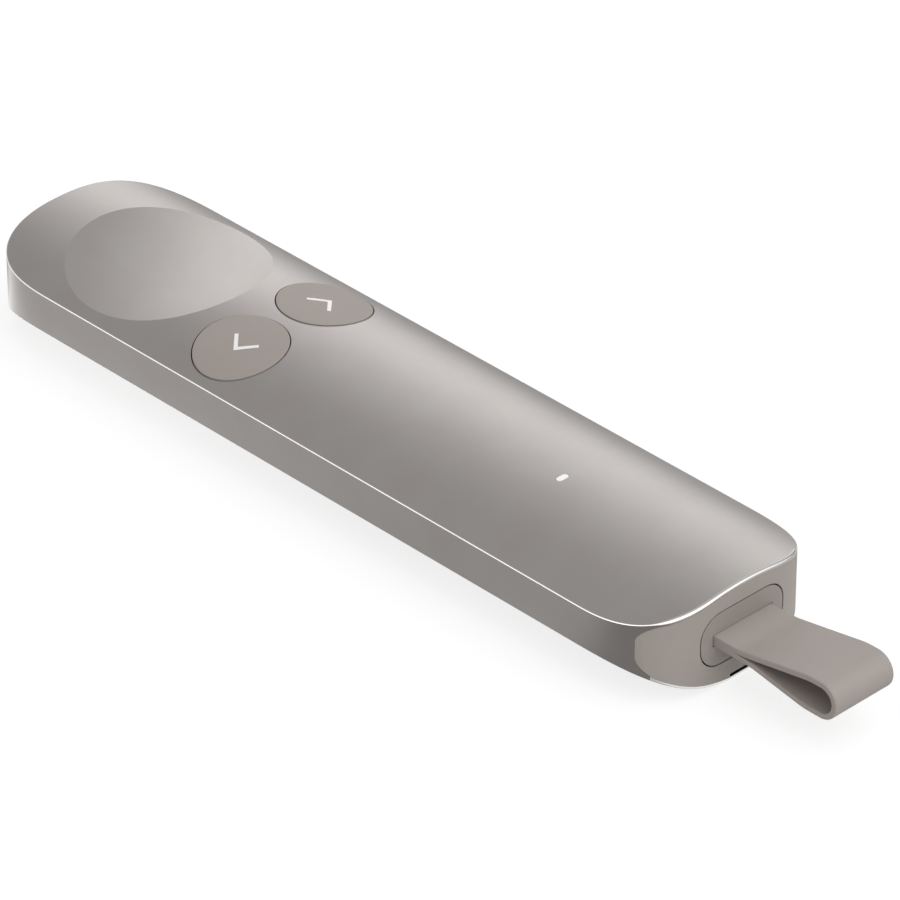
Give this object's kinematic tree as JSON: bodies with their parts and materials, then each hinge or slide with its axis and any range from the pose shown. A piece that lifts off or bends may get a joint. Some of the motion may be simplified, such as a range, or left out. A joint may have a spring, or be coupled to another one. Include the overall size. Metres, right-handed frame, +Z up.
{
  "type": "wireless presentation clicker",
  "caption": "Slim metal hand-held presentation clicker with round back and next keys, a thumb dish, and a USB receiver on a pull strap in its tail.",
  "frame": {"origin": "middle of the narrow flat under the belly, on the surface that the clicker rests on", "axes": "+Y along the body from the strap to the thumb dish, +Z up through the keys, +X to the next key's side"},
  "size_m": [0.0282, 0.1347, 0.0129],
  "materials": {
    "anodised_aluminium": "bead blasted and anodised, greige, with bright cut edges",
    "cap_plastic": "fine moulded texture",
    "key_plastic": "fine moulded texture",
    "receiver_plastic": "fine moulded texture",
    "strap_rubber": "soft matt",
    "white_inlay": "satin",
    "white_diffuser": "milky",
    "black_plastic": "moulded",
    "steel": "bright",
    "board_laminate": "solder mask",
    "flex_film": "film",
    "battery_wrap": "foil pouch",
    "foam": "open cell",
    "gold_contacts": "gold plated"
  },
  "bodies": {
    "chassis": {"housing": "anodised_aluminium", "tail_cap": "cap_plastic", "light_pipe": "white_diffuser", "switch_cases": "black_plastic", "switch_domes": "steel", "key_board": "board_laminate", "key_board_screws": "steel", "inner_frame": "black_plastic", "main_board": "board_laminate", "main_board_screws": "steel", "status_led": "white_inlay", "battery": "battery_wrap", "battery_pad": "foam", "battery_tabs": "steel", "shield_can": "steel", "radio_chip": "black_plastic", "antenna_chip": "white_inlay", "power_chip": "black_plastic", "link_flex": "flex_film", "sensor_flex": "flex_film", "pointer_sensor": "flex_film", "haptic_motor": "steel", "receiver_bay": "black_plastic", "bay_screws": "steel", "charge_port_shell": "steel", "charge_port_tongue": "black_plastic"},
    "back_key": {"back_button": "key_plastic", "back_chevron": "white_inlay", "back_plunger": "black_plastic"},
    "next_key": {"next_button": "key_plastic", "next_chevron": "white_inlay", "next_plunger": "black_plastic"},
    "receiver": {"receiver_body": "receiver_plastic", "receiver_shell": "steel", "receiver_carrier": "black_plastic", "receiver_board": "board_laminate", "receiver_contacts": "gold_contacts", "receiver_chip": "black_plastic", "strap": "strap_rubber", "strap_pins": "steel"}
  },
  "joints": [
    {"name": "back_press", "type": "slide", "parent": "chassis", "child": "back_key", "axis": [0, 0, -1], "range_m": [0, 0.0003], "stiffness_N_per_m": 2000},
    {"name": "next_press", "type": "slide", "parent": "chassis", "child": "next_key", "axis": [0, 0, -1], "range_m": [0, 0.0003], "stiffness_N_per_m": 2000},
    {"name": "receiver_slide", "type": "slide", "parent": "chassis", "child": "receiver", "axis": [0, -1, 0], "range_m": [0, 0.02]}
  ]
}
